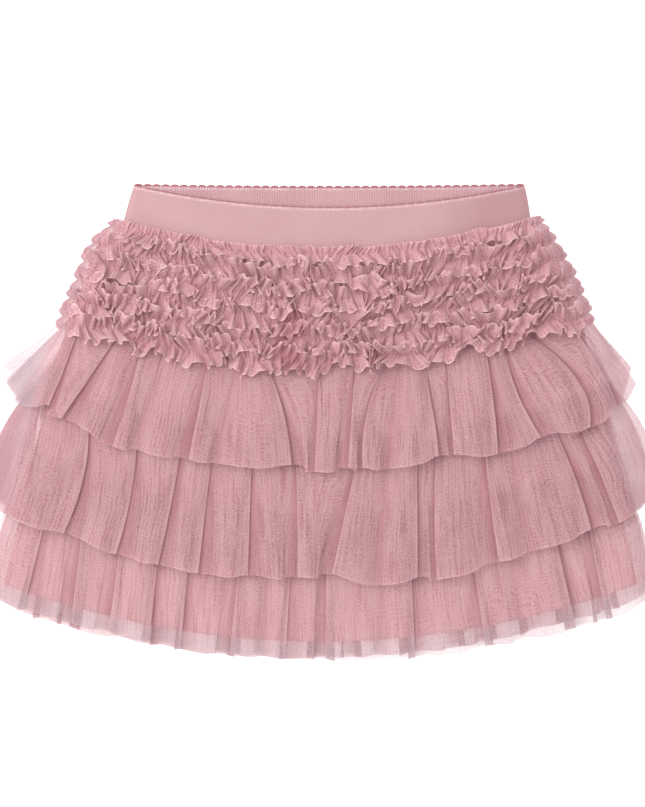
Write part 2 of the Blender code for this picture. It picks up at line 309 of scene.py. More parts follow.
def knit_finish(name, colour, deep, pitch, bump, speckle, upper=None, ribs=0.0, shaded_right_end=None):
    finish, tree, shader = new_finish(name)
    grain, across, down = grain_of(tree)
    # painted shade: the knit is darker on the yoke and under the upper tiers, its own colour near
    # the hem
    if upper:
        below_yoke = ramp(tree, down, YOKE_END, 0.006)
        near_hem = ramp(tree, down, UPPER_TIERS_END, 0.022)
        colour = mix_colours(tree, mix_colours(tree, SHADED_YOKE_ROSE, upper, below_yoke), colour, near_hem)
        deep = mix_colours(tree, mix_colours(tree, SHADED_YOKE_DEEP, upper, below_yoke), deep, near_hem)
    drift = calc(tree, "MULTIPLY_ADD", noise(tree, grain, 60.0), 0.0006, -0.0003)
    wales = threads(tree, across, pitch, drift)
    courses = threads(tree, down, pitch * 0.75, drift)
    height = calc(tree, "MULTIPLY", wales, calc(tree, "MULTIPLY_ADD", courses, 0.5, 0.5))
    pepper = noise(tree, grain, 1500.0, 1.0)
    cloudy = noise(tree, grain, 38.0, 3.0)
    share = calc(tree, "MULTIPLY_ADD", pepper, speckle, calc(tree, "MULTIPLY", cloudy, 0.6))
    share = calc(tree, "SUBTRACT", share, 0.2)
    share = calc(tree, "MULTIPLY_ADD", wales, -ribs, share)
    # painted shade: the elastic is painted darker towards its right end
    if shaded_right_end:
        share = calc(tree, "MULTIPLY_ADD", ramp(tree, across, shaded_right_end, 0.045), 0.8, share)
    face = mix_colours(tree, colour, deep, calc(tree, "MAXIMUM", share, 0.0))
    rows = calc(tree, "MULTIPLY_ADD", threads(tree, down, STITCH_ROW_PITCH, drift), 0.7, 0.3)
    dashes = calc(tree, "MULTIPLY", threads(tree, across, STITCH_PITCH, drift), rows)
    dashes = calc(tree, "MINIMUM", calc(tree, "MULTIPLY", dashes, mark_of(tree, "bare")), 1.0)
    face = mix_colours(tree, face, PICOT_LIGHT, dashes)
    face = mix_colours(tree, face, PICOT_DEEP, mark_of(tree, "edge"))
    tree.links.new(face, shader.inputs["Base Color"])
    lift = add_node(tree, "ShaderNodeBump", Height=height, Strength=bump, Distance=0.0003)
    tree.links.new(lift.outputs[0], shader.inputs["Normal"])
    soft_gloss(shader, 0.85, 0.3)
    return finish


# the upper colour is a painted shade, where the upper tiers cover the knit
base_knit = knit_finish("base_knit", (0.76, 0.485, 0.495), (0.69, 0.405, 0.42), 0.0010, 0.25, 0.35,
                        upper=(0.56, 0.315, 0.33))
# the elastic's right end carries a painted shade
band_knit = knit_finish("band_elastic", (0.56, 0.345, 0.355), (0.42, 0.235, 0.25), 0.0007, 0.12, 0.8,
                        shaded_right_end=0.058)
band_inside = knit_finish("band_inside", (0.58, 0.355, 0.37), (0.34, 0.17, 0.19), 0.0013, 0.4, 1.0,
                          ribs=0.32)
print("knit finishes:", base_knit.name, band_knit.name, band_inside.name)

# %% [markdown]
# ## Shared outline of the skirt
# Every seam line rises towards the sides, because a flat skirt fans out: y = centre_y + ARC x x.
# base_side() gives the side of the base skirt at any height. Layers lie on each other, and these
# are the heights of their middles.

# %% Outline
ARC = 0.0013
LAYER = 1.3
SEAM_GAP = 0.3
BACK_FLOOR = 0.5
BASE_BACK_YOKE, BASE_BACK_SKIRT = 1.8, 3.1
BASE_FRONT_YOKE, BASE_FRONT_SKIRT = 3.1, 4.4
RUFFLE_ROOT = 4.2
TIER_FLOOR = 5.5
BASE_STEP = (33.0, 25.0)
BASE_TOP_Y = 91.0
BASE_HEM_Y, BASE_HEM_ARC = -114.5, 0.0011
SIDE_DROP_WIDTH = 12.0

# centre_y, left, right
LEFT, RIGHT = 1, 2
BASE_SIDES = np.array([
    (91.0, -103.0, 109.5),
    (73.0, -117.0, 119.5),
    (55.0, -123.0, 128.0),
    (33.0, -131.0, 136.0),
    (-1.0, -140.0, 142.0),
    (-114.5, -165.0, 165.0),
])


def seam_line(centre_y, x, arc=ARC):
    return centre_y + arc * x * x


def base_side(centre_y, column):
    heights = -BASE_SIDES[:, 0]
    return np.interp(-np.asarray(centre_y, float), heights, BASE_SIDES[:, column])


def past_side(x, y):
    """How far a point lies outside the base skirt; negative inside."""
    centre_y = y - ARC * x * x
    return np.where(x < 0, base_side(centre_y, LEFT) - x, x - base_side(centre_y, RIGHT))


hem_width = base_side(BASE_HEM_Y, RIGHT) - base_side(BASE_HEM_Y, LEFT)
print("base skirt is", hem_width, "mm wide at the hem")

# %% [markdown]
# ## Base skirt
# Two A-line knit panels, sewn to the elastic at the top and hemmed at the bottom. They lie on
# each other, and towards the sides each bends to meet the other, as at a pressed side seam.

# %% Base skirt
def base_panel(name, yoke_z, skirt_z, middle_z):
    across = np.linspace(0.0, 1.0, 121)[None, :]
    down = np.linspace(0.0, 1.0, 90)[:, None]
    centre_y = blend(BASE_TOP_Y, BASE_HEM_Y, down)
    left, right = base_side(centre_y, LEFT), base_side(centre_y, RIGHT)
    x = blend(left, right, across)
    y = seam_line(centre_y, x, blend(ARC, BASE_HEM_ARC, down))
    on_tiers = smooth_step(-centre_y, -BASE_STEP[0], -BASE_STEP[1])
    z = blend(yoke_z, skirt_z, on_tiers) + 0.12 * wander(x, 14.0, 5) * wander(y, 22.0, 6)
    at_side = 1.0 - smooth_step(np.minimum(x - left, right - x), 0.0, 5.0)
    z = blend(z, blend(middle_z[0], middle_z[1], on_tiers), at_side * 0.8)
    grain = grid(x, BASE_TOP_Y - centre_y)
    return cloth_sheet(name, grid(x, y, z), grain, base_knit, wall=0.6)


base_back = base_panel("base_back_knit", BASE_BACK_YOKE, BASE_BACK_SKIRT, (2.3, 3.5))
base_front = base_panel("base_front_knit", BASE_FRONT_YOKE, BASE_FRONT_SKIRT, (2.6, 4.0))
for piece, node in ((base_back, "base_back"), (base_front, "base_front")):
    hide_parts(node)
print("base skirt:", base_back.name, base_front.name)

# %% [markdown]
# ## Waistband
# A wide soft elastic. The back half stands above the front half, whose top edge dips, so the
# inside of the back shows with its fine ribs. Both halves bend together at the sides.

# %% Waistband
BAND_SEAM_Y = 90.2
BAND_FRONT_DIP_Y, BAND_FRONT_ARC = 111.8, 0.0011
BAND_BACK_TOP_Y, BAND_BACK_ARC = 122.4, 0.0001
BAND_TOP = (-97.5, 106.5)
BAND_SEAM = (-103.0, 109.5)
BAND_CENTRE_X = 4.5
BAND_BACK_Z, BAND_FRONT_Z, BAND_SIDE_Z = 0.6, 2.1, 1.35
FRONT_EDGE_DROP = 0.35
BAND_GRAIN_TOP_Y = 123.0


def band_top(x, front):
    if front:
        return BAND_FRONT_DIP_Y + BAND_FRONT_ARC * (x - BAND_CENTRE_X) ** 2
    return BAND_BACK_TOP_Y + BAND_BACK_ARC * (x - BAND_CENTRE_X) ** 2


def band_height(x, left, right, front):
    flat_z = BAND_FRONT_Z if front else BAND_BACK_Z
    at_side = 1.0 - smooth_step(np.minimum(x - left, right - x), 0.0, 3.5)
    return blend(flat_z, BAND_SIDE_Z, at_side * 0.8)


PICOTS = 43
PICOT_TALL = {"front": 0.55, "back": 1.05}


def scallops(across, side):
    return PICOT_TALL[side] * np.abs(np.sin(np.pi * PICOTS * across)) ** 0.6


def band_panel(name, side, finish):
    front = side == "front"
    across = np.linspace(0.0, 1.0, PICOTS * 10 + 1)[None, :]
    down = np.concatenate([np.linspace(0.0, 0.1, 9), np.linspace(0.14, 1.0, 20)])[:, None]
    bulge = 0.3 * np.sin(np.pi * down)
    left = blend(BAND_TOP[0], BAND_SEAM[0], down) - bulge
    right = blend(BAND_TOP[1], BAND_SEAM[1], down) + bulge
    x = blend(left, right, across)
    y = blend(band_top(x, front), seam_line(BAND_SEAM_Y, x), down)
    y = y + scallops(across, side) * (1.0 - smooth_step(down, 0.0, 0.09))
    z = band_height(x, left, right, front)
    if front:
        z = z - FRONT_EDGE_DROP * (1.0 - smooth_step(down, 0.0, 0.10))
        z = z + 0.10 * wander(x, 9.0, 14) * smooth_step(down, 0.2, 1.0)
    grain = grid(x, BAND_GRAIN_TOP_Y - y)
    below_top = band_top(x, front) - y
    edge = 1.0 - smooth_step(below_top, 0.0, 0.35)
    light = smooth_step(below_top, 0.2, 0.6) * (1.0 - smooth_step(below_top, 1.2, 2.0))
    light = light * (0.62 + 0.3 * wander(x, 3.0, 15))
    return cloth_sheet(name, grid(x, y, z), grain, finish, edge, light, wall=0.9)


band_back = band_panel("waistband_back_elastic", "back", band_inside)
band_front = band_panel("waistband_front_elastic", "front", band_knit)
for piece, node in ((band_back, "waistband_back"), (band_front, "waistband_front")):
    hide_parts(node)
print("waistband:", band_back.name, band_front.name)

# %% [markdown]
# ## Ruffles
# Each ruffle is a narrow strip of doubled tulle, gathered hard and sewn on along its middle, so
# that it has two free edges. A free edge is about three times as long as the seam, so it swings
# from side to side in loops that lean over each other, as a ribbon set on edge does. Each half
# of the strip leans out from the seam, some loops nearly upright and others pressed flat. At the
# sides the loops are calmer, and the strip fans out along the side of the base skirt.

# %% Ruffles
RUFFLE_ROWS = 6
RUFFLE_FIRST_Y = 86.0
RUFFLE_PITCH_Y = 10.75
FIRST_ROW_RAISED = 1.2
OVERHANG = 2.0
END_FAN, END_WIDTH = 4.4, 9.0
GRAIN_STRIP = 14.0
# width of half a loop, how far a loop turns in radians, how far it swings out of the strip,
# half of the strip's width, and its lean up from flat in degrees
GATHERS = {
    "band": ((0.7, 1.9), (1.0, 1.5), (0.3, 1.1), (3.6, 4.8), (2.0, 10.0)),
    "top": ((1.1, 3.4), (1.3, 1.8), (1.2, 2.8), (6.0, 9.6), (20.0, 50.0)),
    "upper": ((1.1, 3.7), (1.3, 1.8), (1.2, 3.0), (7.0, 11.0), (15.0, 42.0)),
    "lower": ((1.1, 3.9), (1.3, 1.8), (1.2, 3.2), (7.5, 11.5), (12.0, 40.0)),
    "last": ((1.2, 4.4), (1.3, 1.8), (1.4, 3.4), (7.0, 11.5), (24.0, 50.0)),
}
LAST_ROW, LAST_ROOT = RUFFLE_ROWS - 1, 5.4


def ruffle_ends(root_y):
    return float(base_side(root_y, LEFT)) - OVERHANG, float(base_side(root_y, RIGHT)) + OVERHANG


def loops(left, right, dice, kind):
    """Stations along a free edge: root_x, edge_x, swing, and how much the edge is pulled in."""
    widths, turns, swings = GATHERS[kind][:3]
    share = (np.arange(8) + 1.0) / 8
    stations, x, swing, way = [(left, left, 0.0, 0.0)], left, 0.0, 1.0
    while x < right:
        width, next_swing = dice.uniform(*widths), way * dice.uniform(*swings)
        angle = dice.uniform(*turns) * np.sin(np.pi * (share - 1.0 / 16))
        forward = np.cos(angle).cumsum() / np.cos(angle).sum()
        sideways = np.sin(angle).cumsum() / np.sin(angle).sum()
        stations += zip(x + width * share, x + width * forward, blend(swing, next_swing, sideways),
                        np.sin(np.pi * share) ** 2)
        x, swing, way = x + width, next_swing, -way
    return np.array(stations).T


def ruffle(name, row):
    dice = np.random.default_rng(300 + row)
    root_y = RUFFLE_FIRST_Y - row * RUFFLE_PITCH_Y + (FIRST_ROW_RAISED if row == 0 else 0.0)
    left, right = ruffle_ends(root_y)
    root_x = np.linspace(left, right, int((right - left) / 0.27))
    from_end = np.minimum(root_x - left, right - root_x)
    inside = smooth_step(from_end, 0.0, 10.0)
    past_end = smooth_step(from_end, 0.0, END_WIDTH)
    fan_out = END_FAN * (1.0 - past_end) * np.where(root_x < 0, -1.0, 1.0)
    calm = blend(0.15, 1.0, past_end)
    rest_z = LAST_ROOT if row == LAST_ROW else RUFFLE_ROOT
    # painted shade where the gathers crowd, left of the middle in the lower rows
    crowded_shade = 0.55 * np.exp(-((root_x + 15.0) / 8.0) ** 2) if row >= 3 else 0.0
    strays = 3.0 if row else 0.5
    root_line = seam_line(root_y, root_x) + strays * wander(root_x, 12.0, 480 + row) * inside
    out = np.linspace(0.0, 1.0, 10)[:, None]
    gather = 0.5 + 0.5 * wander(root_x, 0.8, 520 + row)
    halves = []
    below = {0: "top", LAST_ROW: "last"}.get(row, "lower")
    for kind, upward in (("upper" if row else "band", 1.0), (below, -1.0)):
        stations = loops(left, right, dice, kind)
        edge_x, swing, pull = (np.interp(root_x, stations[0], line) for line in stations[1:])
        swing = swing * calm
        seed = 400 + row + (30 if upward > 0 else 0)
        strip = blend(*GATHERS[kind][3], 0.5 + 0.5 * wander(root_x, 4.2, seed) * calm)
        strip = strip * (1.0 - 0.14 * pull)
        strip = strip * blend(0.75, 1.0, np.sqrt(1.0 - (1.0 - from_end / 4.0).clip(0.0) ** 2))
        lean = np.radians(blend(*GATHERS[kind][4], 0.5 + 0.5 * wander(root_x, 6.5, seed + 50)))
        slope = 6.5 * wander(root_x, 10.0, seed + 200) + 3.2 * wander(root_x, 4.5, seed + 300)
        slope = slope * inside * (0.5 if kind == "band" else 1.0)
        opened = out ** 0.8
        x = root_x + (edge_x - root_x) * calm * opened + slope * out
        reach = upward * (strip * np.cos(lean) * out - swing * np.sin(lean) * opened)
        flare = [base_side(root_y + reach, side) - base_side(root_y, side) for side in (LEFT, RIGHT)]
        x = x + np.where(root_x < 0, *flare) * (1.0 - smooth_step(from_end, 0.0, 12.0))
        x = x + fan_out * (0.4 + 0.6 * np.sin(0.95 * np.pi * out))
        y = root_line + reach
        z = strip * np.sin(lean) * (1.35 * out - 0.35 * out ** 3) + swing * np.cos(lean) * opened
        z = z + 0.4 * wander(edge_x + 3.0 * out, 1.7, 440 + row) * out
        pinched = 1.0 - 0.5 * out if kind == "band" else (1.0 - out) ** 1.3
        z = z + 1.6 * gather * pinched
        z = blend(2.2, rest_z, inside) + z * blend(0.45, 1.0, inside)
        # painted light on the ruffles: the free edges are denser and painted lighter, a painted
        # highlight; troughs, the gaps between gathers at the seam and the net past the side of the
        # base skirt get a painted shade
        free = smooth_step(out, 0.86, 1.0)
        outside = smooth_step(past_side(x, y), -1.0, 3.0)
        trough_shade = np.clip(0.5 - swing / 3.0, 0.0, 1.0) * (1.0 - out) ** 0.7
        painted_shade = np.maximum(0.45 * trough_shade, 0.5 * (1.0 - gather) * pinched) + crowded_shade
        edge = free * (1.0 - outside) - np.maximum(painted_shade, 0.62 * outside)
        halves.append((x, y, z, edge, 0.5 * outside))
    x, y, z, edge, bare = (np.vstack([up[::-1], low[1:]]) for up, low in zip(*halves))
    points = grid(x, y, z)
    length = 0.5 * (run_along(points[0]) + run_along(points[-1]))
    across_strip = np.vstack([-out[::-1], out[1:]]) * GRAIN_STRIP / 2
    piece = cloth_sheet(name, points, grid(length, across_strip), ruffle_tulle, edge, bare)
    return piece, points, length[-1]


def run_along(line):
    """Length of cloth from the start of a free edge to each of its points, seen from the side."""
    step = np.hypot(np.diff(line[:, 0]), np.diff(line[:, 2]))
    return np.concatenate([[0.0], step.cumsum()])


# %% [markdown]
# Under the skirt the same ruffles are pressed flat by its weight. Their gathers lie over each
# other as small knife pleats, each going forward, back under itself and forward again.

# %% Pressed ruffles
def pressed_ruffle(name, row):
    dice = np.random.default_rng(350 + row)
    root_y = RUFFLE_FIRST_Y - row * RUFFLE_PITCH_Y
    left, right = ruffle_ends(root_y)
    stations, x = [], 0.0
    while x < right - left:
        forward, back = dice.uniform(5.0, 8.0), dice.uniform(2.2, 3.2)
        under = dice.uniform(-0.4, 0.4)
        stations += [(x, 0.30, under), (x + forward / 2, 0.55, under), (x + forward, 0.62, 0.3),
                     (x + forward, 0.50, 0.3), (x + forward - back, 0.38, under)]
        x += forward - back
    flat_x, flat_z, uneven = smoothed(stations, 1).T
    along = np.concatenate([[0.0], np.abs(np.diff(flat_x)).cumsum()])
    flat_x = left + (flat_x - flat_x.min()) * (right - left) / np.ptp(flat_x)
    out = np.linspace(-1.0, 1.0, 9)[:, None]
    x = flat_x + 1.6 * wander(flat_x, 6.0, 360 + row) * out
    y = seam_line(root_y, flat_x) - blend(0.4, 5.4, np.abs(out)) * np.sign(out) + uneven * out
    points, grain = grid(x, y, flat_z), grid(along, out * GRAIN_STRIP / 2)
    # the free edges are denser and painted lighter, a painted highlight
    edge = smooth_step(np.abs(out), 0.80, 1.0)
    return cloth_sheet(name, points, grain, ruffle_tulle, edge), points, along[-1]


# %% Make the ruffles
for row in range(RUFFLE_ROWS):
    for side, make in (("front", ruffle), ("back", pressed_ruffle)):
        node = f"ruffle_{side}_{row + 1}"
        piece, points, length = make(f"{node}_tulle", row)
        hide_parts(node)

# %% [markdown]
# ## Tiers
# Each tier is a wide strip of tulle gathered to its seam, and it hangs in folds that fan out to
# the hem. FOLDS lists every fold line from the left side to the right:
# seam_x, bend (how far the line bows to the right halfway down), hem_x, hem_lift, lip, rise and
# tuck (how far the cloth turns back under itself at the hem).
# lip: R, the cloth left of the line lies on top; L, the cloth right of it does; S, a soft dip;
# E, the side edge.
#
# TIERS sets each tier as a whole. rise is how high its folds stand at the hem, flap
# how high it lies past the side of the base skirt, and sag how far its hem drops over the knit.
# The crease entry sets how dark the painted shade in its creases is. The wing entry sets how
# dark the painted shade on the net past the left side is, and bare how grey that net is; past
# the right side all three tiers share the right-side wing and bare values.

# %% Fold tables
WING_SHADE_RIGHT, BARE_RIGHT = 0.46, 0.42
TIERS = {
    "tier_1": {"seam_y": 28.0, "hem_y": -25.0, "hem_arc": 0.0013, "rise": 6.0, "flap": 5.7,
               "sag": 0.0, "seed": 61, "crease_shade": 1.1, "wing_shade": 0.16, "bare": 1.0},
    "tier_2": {"seam_y": -11.0, "hem_y": -83.0, "hem_arc": 0.00128, "rise": 5.2, "flap": 4.4,
               "sag": 0.0, "seed": 62, "crease_shade": 1.05, "wing_shade": 0.7, "bare": 0.5},
    "tier_3": {"seam_y": -50.0, "hem_y": -123.3, "hem_arc": 0.00107, "rise": 4.6, "flap": 3.1,
               "sag": 2.0, "seed": 63, "crease_shade": 0.75, "wing_shade": 0.4, "bare": 0.4},
}
FOLD_START = 1.2

# seam_x, bend, hem_x, hem_lift, lip, rise, tuck
FOLDS = {
    "tier_1": [
        (-135.0, 0.0, -166.7, 18.0, "E", 0.2, 0.0),
        (-132.5, 0.0, -158.5, 2.3, "S", 0.5, 0.0),
        (-126.0, 0.5, -140.7, 7.6, "R", 0.7, 6.0),
        (-107.0, 0.0, -134.0, 3.3, "R", 1.0, 9.0),
        (-93.0, 0.5, -108.4, -2.8, "L", 0.8, 7.0),
        (-82.0, 0.0, -95.9, -1.5, "S", 0.3, 0.0),
        (-58.5, 0.0, -68.9, -0.4, "L", 0.9, 8.0),
        (-44.5, 0.0, -53.8, -0.1, "S", 0.2, 0.0),
        (-27.3, 2.3, -14.8, 2.4, "R", 1.0, 11.0),
        (-0.8, 0.0, -3.4, -1.0, "L", 0.8, 6.0),
        (17.9, 0.0, 13.8, 0.8, "L", 0.6, 5.0),
        (33.5, -4.0, 21.6, 0.5, "L", 0.9, 8.0),
        (41.0, -0.6, 35.1, -1.0, "S", 0.5, 0.0),
        (53.3, 1.0, 61.6, 2.4, "R", 1.0, 10.0),
        (65.3, 0.0, 68.9, 1.7, "L", 0.8, 6.0),
        (86.0, 1.0, 92.3, -2.6, "R", 0.8, 8.0),
        (95.9, -3.0, 114.7, 0.1, "R", 1.0, 10.0),
        (111.0, 9.0, 140.1, -3.2, "R", 0.8, 12.0),
        (131.0, 2.0, 154.7, 2.7, "R", 0.8, 8.0),
        (141.0, 0.0, 164.6, 9.5, "E", 0.2, 0.0),
    ],
    "tier_2": [
        (-151.0, -6.0, -173.5, 5.2, "E", 0.2, 0.0),
        (-147.0, 0.0, -165.5, 0.6, "L", 0.5, 12.0),
        (-121.5, 5.0, -132.9, 2.7, "R", 1.0, 10.0),
        (-95.5, 3.0, -105.8, 0.0, "R", 0.8, 7.0),
        (-71.5, 1.0, -84.0, 0.0, "R", 0.9, 8.0),
        (-55.4, 0.0, -63.2, -0.6, "R", 0.7, 6.0),
        (-35.6, 0.0, -37.4, 1.6, "R", 0.8, 7.0),
        (-13.3, 0.5, -12.2, 2.2, "L", 1.0, 7.0),
        (21.0, 0.0, 5.5, 3.9, "L", 0.8, 8.0),
        (34.6, 0.0, 30.4, -2.9, "S", 0.3, 0.0),
        (50.2, 0.0, 50.7, -0.9, "R", 1.0, 9.0),
        (61.0, -1.5, 60.0, -3.5, "L", 0.7, 5.0),
        (84.5, -1.0, 92.3, -0.4, "L", 0.9, 7.0),
        (96.0, 0.0, 108.9, 0.7, "S", 0.4, 0.0),
        (117.0, 2.0, 140.7, 2.0, "R", 1.0, 12.0),
        (127.5, 1.5, 154.5, 0.0, "L", 0.8, 8.0),
        (152.0, 8.5, 173.5, 7.0, "E", 0.2, 0.0),
    ],
    "tier_3": [
        (-150.0, -8.0, -171.0, 1.6, "E", 0.2, 0.0),
        (-137.0, 0.0, -154.2, 0.1, "R", 0.8, 4.0),
        (-121.0, 0.0, -130.3, 0.6, "L", 0.9, 6.0),
        (-101.0, 0.0, -110.5, 1.0, "L", 0.8, 5.0),
        (-82.0, 0.0, -88.7, 0.5, "R", 0.9, 5.0),
        (-66.0, 0.0, -72.5, -0.4, "R", 0.7, 4.0),
        (-40.0, 0.0, -47.6, 0.2, "L", 0.9, 6.0),
        (-26.0, 0.0, -29.4, 0.2, "S", 0.4, 0.0),
        (-14.0, 0.0, -17.9, -0.3, "R", 0.8, 4.0),
        (3.0, 0.0, 2.5, 0.0, "L", 0.9, 5.0),
        (31.0, 0.0, 33.5, -0.6, "S", 0.3, 0.0),
        (46.0, 0.0, 49.7, -1.6, "R", 0.8, 4.0),
        (75.0, 0.0, 85.5, -1.3, "L", 0.8, 5.0),
        (95.0, 0.0, 105.8, -1.6, "S", 0.4, 0.0),
        (116.0, 0.0, 133.4, -2.9, "R", 1.0, 6.0),
        (134.0, 0.0, 148.5, -3.0, "L", 0.6, 4.0),
        (150.0, 8.0, 171.0, -0.4, "E", 0.2, 0.0),
    ],
}
print("fold lines:", {tier: len(folds) for tier, folds in FOLDS.items()})

# %% [markdown]
# ## From the fold table to a tier
# fold_stations() turns each line of the table into the points of a cross-section. A lip is
# turned over itself: along the top to the lip, back under, and forward again from its foot. The
# lip's edge gets a painted highlight, and the cloth beside it a painted shade for a few
# millimetres.
# Panels between folds get two loose points of their own, a little uneven. Then the cloth is
# drawn from seam to hem, lying on whatever is below it.

# %% Tier helpers
SEAM_SPREAD = 0.12
LIP, CROWN = 0.42, 0.42


def fold_height(tier, down):
    return blend(FOLD_START, TIERS[tier]["rise"], down)


def down_a_tier(tier, x, y):
    sizes = TIERS[tier]
    seam = seam_line(sizes["seam_y"], x)
    hem = seam_line(sizes["hem_y"], x, sizes["hem_arc"])
    return (seam - y) / (seam - hem)


def over_next_tier(tier, x, y):
    down = down_a_tier(tier, x, y)
    on_top = smooth_step(down, -0.13, -0.02)
    return on_top * (LAYER + SEAM_GAP + fold_height(tier, np.maximum(down, 0.0)))


def fold_stations(folds, dice):
    """Rows of seam_x, bend, hem_x, hem_lift, height share and painted crease shade, down the list of
    folds.
    """
    stations = []

    def add(fold, offset, lift, height, crease_shade):
        seam_x, bend, hem_x, hem_lift = fold[:4]
        stations.append((seam_x + SEAM_SPREAD * offset, bend, hem_x + offset, hem_lift + lift,
                         height, crease_shade))

    for number, fold in enumerate(folds):
        lip, rise, tuck = fold[4:7]
        beside = {"R": number + 1, "L": number - 1}.get(lip, number)
        shaded = min(8.0, 0.45 * abs(folds[beside][2] - fold[2]))
        if stations:
            before = stations[-1]
            start_height = before[4]
            end_height = {"R": LIP * rise, "E": rise}.get(lip, 0.0)
            first_x, last_x = before[2], fold[2]
            crown = CROWN * min(1.0, abs(last_x - first_x) / 20.0)
            for share in (0.28, 0.62):
                bulge = -0.035 * abs(last_x - first_x) - dice.uniform(0.0, 0.5)
                stations.append((
                    blend(before[0], fold[0], share),
                    blend(before[1], fold[1], share),
                    blend(first_x, last_x, share),
                    blend(before[3], fold[3], share) + bulge,
                    blend(start_height, end_height, share) + crown + dice.uniform(-0.05, 0.12),
                    0.0,
                ))
        lower = dice.uniform(-1.6, 0.4)
        # offset from the lip, lift, height share, painted crease shade (negative: a painted
        # highlight)
        turn = [(-2.4, 0.0, LIP, -0.1), (-0.3, 0.0, LIP, -0.8), (-0.3, 0.0, 0.8 * LIP, 0.0),
                (-2.6, lower * 0.5, 0.6 * LIP, 0.5), (-0.62 * tuck, lower, 0.3 * LIP, 0.5),
                (-tuck, lower, 0.04, 0.5), (-tuck, lower, 0.0, 0.5),
                (-tuck + 3.0, lower * 0.6, 0.02, 0.5), (0.4, 0.0, 0.02, 0.9),
                (0.45 * shaded, 0.0, 0.05, 0.7), (0.75 * shaded, 0.0, 0.10, 0.4),
                (shaded, 0.0, 0.16, 0.0)]
        if lip == "R":
            for offset, lift, height, crease_shade in turn:
                add(fold, offset, lift, height * rise, crease_shade)
        elif lip == "L":
            for offset, lift, height, crease_shade in reversed(turn):
                add(fold, -offset, lift, height * rise, crease_shade)
        elif lip == "S":
            for offset, height, crease_shade in ((-2.6, 0.10, 0.0), (0.0, 0.0, 0.8), (2.6, 0.10, 0.0)):
                add(fold, offset, 0.0, height, crease_shade)
        else:
            add(fold, 0.0, 0.0, rise, 0.7)
    return np.array(stations)


def front_tier(name, tier, next_tier, rows=54):
    sizes = TIERS[tier]
    dice = np.random.default_rng(sizes["seed"])
    seam_x, bend, hem_x, hem_lift, share, crease_shade = smoothed(fold_stations(FOLDS[tier], dice)).T
    along = np.hypot(np.diff(hem_x), np.diff(share) * sizes["rise"]).cumsum()
    along = np.concatenate([[0.0], along])
    down = np.concatenate([[-0.04, -0.02], np.linspace(0.0, 1.0, rows)])[:, None]
    hung = np.maximum(down, 0.0)
    gathered = 1.0 - smooth_step(hung, 0.0, 0.35)
    x = blend(seam_x, hem_x, hung) + bend * 4.0 * hung * (1.0 - hung)
    x = x + 0.5 * wander(along, 7.0, sizes["seed"] + 5) * gathered
    top = seam_line(sizes["seam_y"], seam_x)
    bottom = seam_line(sizes["hem_y"], hem_x, sizes["hem_arc"]) + hem_lift
    bottom = bottom + 0.25 * wander(along, 4.0, sizes["seed"] + 1)
    y = blend(top, bottom, down)
    floor = TIER_FLOOR
    if next_tier:
        floor = floor + over_next_tier(next_tier, x, y)
    z = share * fold_height(tier, hung)
    z = z + 0.45 * gathered * (1.0 + wander(along, 1.9, sizes["seed"] + 2))
    slow = wander(along + 9.0 * hung, 8.0, sizes["seed"] + 3)
    z = z + 0.42 * (1.0 + slow) * smooth_step(hung, 0.05, 0.5)
    ridge = np.exp(-(down / 0.02) ** 2) * 0.5
    z = z + ridge
    flap = sizes["flap"]
    if tier == "tier_1":
        flap = blend(flap, BACK_FLOOR + LAYER, smooth_step(y, 22.0, 32.0))
        floor = floor - 0.7 * (1.0 - smooth_step(down, -0.04, 0.12))
    sink = smooth_step(past_side(x, y), 0.0, SIDE_DROP_WIDTH)
    z = blend(floor + z, flap + 0.25 * z, sink)
    z = z - sizes["sag"] * (1.0 - sink) * smooth_step(hung, 0.90, 1.0)
    length = np.mean(top - bottom)
    # painted light on the tier: creases, the gaps between gathers at the seam and the net past the
    # sides get a painted shade; the raw hem is denser and painted lighter, and light lips get a
    # painted highlight
    fine =0.5 * np.maximum(wander(along, 2.2, sizes["seed"] + 6), 0.0) * gathered
    deep = crease_shade * blend(1.0, 0.75, hung) * (0.85 + 0.15 * wander(along + 30.0 * hung, 9.0, 90))
    deep = deep * sizes["crease_shade"]
    light = np.maximum(-crease_shade, 0.0) * smooth_step(hung, 0.02, 0.2)
    free = np.maximum(0.5 * smooth_step(hung, 1.0 - 0.7 / length, 1.0), light)
    to_right = smooth_step(x, -100.0, 100.0)
    wing_shade = sink * blend(sizes["wing_shade"], WING_SHADE_RIGHT, to_right)
    edge = free * (1.0 - np.abs(deep)) - np.maximum(np.maximum(deep, fine), wing_shade)
    past_hem = seam_line(BASE_HEM_Y, x, BASE_HEM_ARC) - y
    bare = sink * blend(sizes["bare"], BARE_RIGHT, to_right)
    bare = np.maximum(bare, 0.5 * smooth_step(past_hem, -2.5, 3.5))
    points = grid(x, y, z)
    piece = cloth_sheet(name, points, grid(along, down * length), tulle, edge, bare)
    return piece, points, along[-1], length


# %% [markdown]
# ## Hidden tiers
# The back half of each tier is pressed flat under the skirt by its weight. It has the same kind
# of folds, flattened, and laps over the hem of the tier above it.

